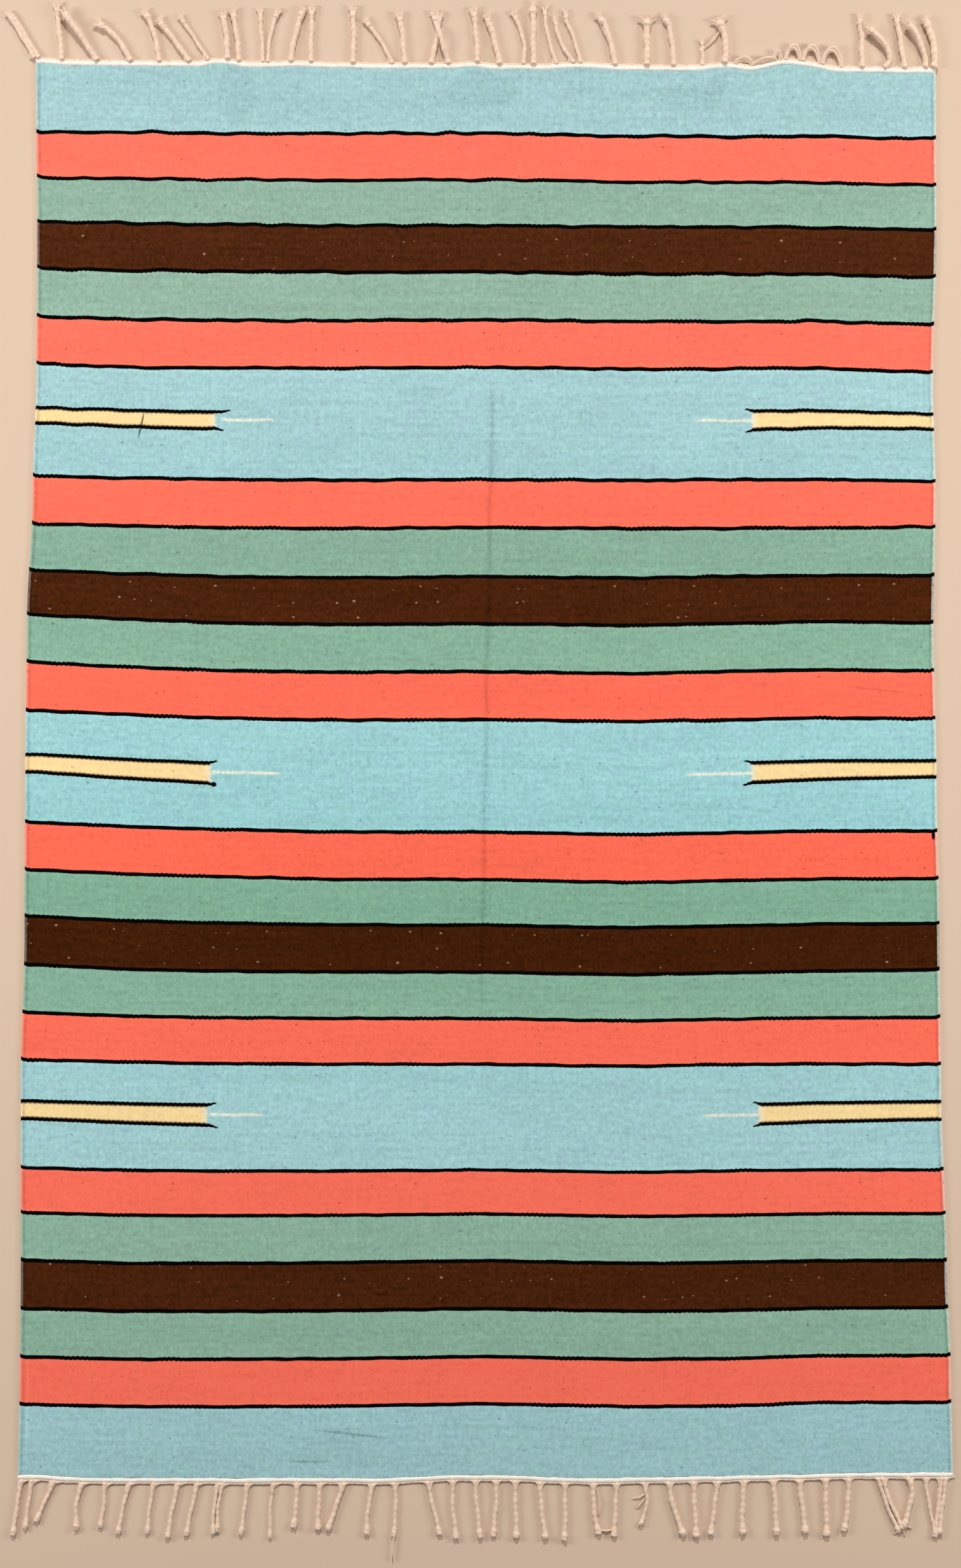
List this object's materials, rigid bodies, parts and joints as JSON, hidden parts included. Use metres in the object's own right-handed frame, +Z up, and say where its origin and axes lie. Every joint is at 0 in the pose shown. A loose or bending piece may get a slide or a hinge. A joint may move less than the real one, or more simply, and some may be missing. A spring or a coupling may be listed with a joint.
{
  "type": "kilim rug",
  "caption": "Flatwoven striped kilim rug lying open, with a twined heading and knotted corded fringe along both ends.",
  "frame": {"origin": "on the floor under the middle of the rug, fringes included", "axes": "+X to the right across the rug, +Y along its length to the far fringe, +Z up off the floor"},
  "size_m": [1.2604, 2.0526, 0.0072],
  "materials": {
    "kilim_weave": "weft-faced wool flatweave, matt, striped in pale blue, coral, sage green and dark brown with black outlines",
    "fringe_yarn": "undyed cream cotton warp yarn, twined and corded, matt"
  },
  "bodies": {
    "root": {"rug_cloth": "kilim_weave", "fringe_far": "fringe_yarn", "fringe_near": "fringe_yarn"}
  },
  "joints": []
}
